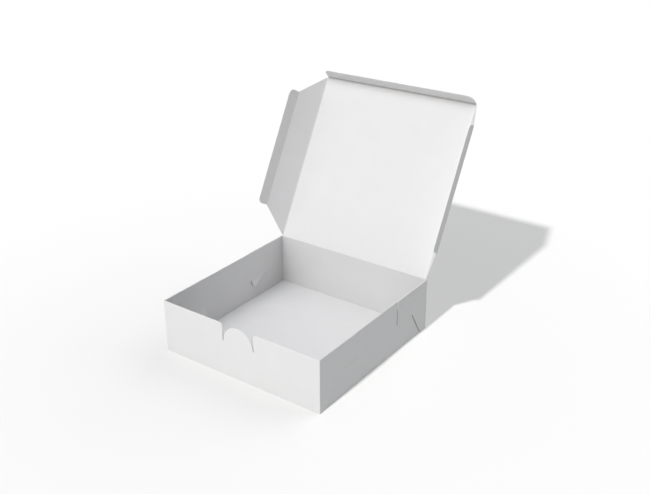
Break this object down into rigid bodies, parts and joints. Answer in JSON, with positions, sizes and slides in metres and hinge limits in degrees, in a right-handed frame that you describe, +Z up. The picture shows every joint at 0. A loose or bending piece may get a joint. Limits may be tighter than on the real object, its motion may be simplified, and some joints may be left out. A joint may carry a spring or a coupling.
{
  "type": "tuck box",
  "caption": "Shallow square paperboard box with corner locks, a thumb notch and a hinged lid whose side flaps and front flap tuck inside the walls.",
  "frame": {"origin": "middle of the tray's underside", "axes": "+Z up, +Y from the front wall to the hinge, +X to the right along the front"},
  "size_m": [0.2332, 0.2922, 0.2436],
  "materials": {
    "white_board": "matte"
  },
  "bodies": {
    "tray": {"tray": "white_board"},
    "lid": {"lid_panel": "white_board"},
    "left_flap": {"left_side_flap": "white_board"},
    "right_flap": {"right_side_flap": "white_board"},
    "tuck_flap": {"front_tuck_flap": "white_board"}
  },
  "joints": [
    {"name": "lid_hinge", "type": "hinge", "parent": "tray", "child": "lid", "pos_m": [0, 0.09875, 0.06025], "axis": [-1, 0, 0], "range_deg": [-118.6, 61.4]},
    {"name": "left_flap_fold", "type": "hinge", "parent": "lid", "child": "left_flap", "pos_m": [-0.09845, 0.09875, 0.06025], "axis": [0, -0.4787, -0.878], "range_deg": [-51.01, 26.41]},
    {"name": "right_flap_fold", "type": "hinge", "parent": "lid", "child": "right_flap", "pos_m": [0.09845, 0.09875, 0.06025], "axis": [0, 0.4787, 0.878], "range_deg": [-51.01, 26.41]},
    {"name": "tuck_flap_fold", "type": "hinge", "parent": "lid", "child": "tuck_flap", "pos_m": [0, 0.19286, 0.23286], "axis": [-1, 0, 0], "range_deg": [-21.36, 11.06]}
  ],
  "couplings": [
    {"joint": "left_flap_fold", "follows": "lid_hinge", "ratio": 0.43},
    {"joint": "right_flap_fold", "follows": "lid_hinge", "ratio": 0.43},
    {"joint": "tuck_flap_fold", "follows": "lid_hinge", "ratio": 0.18}
  ]
}
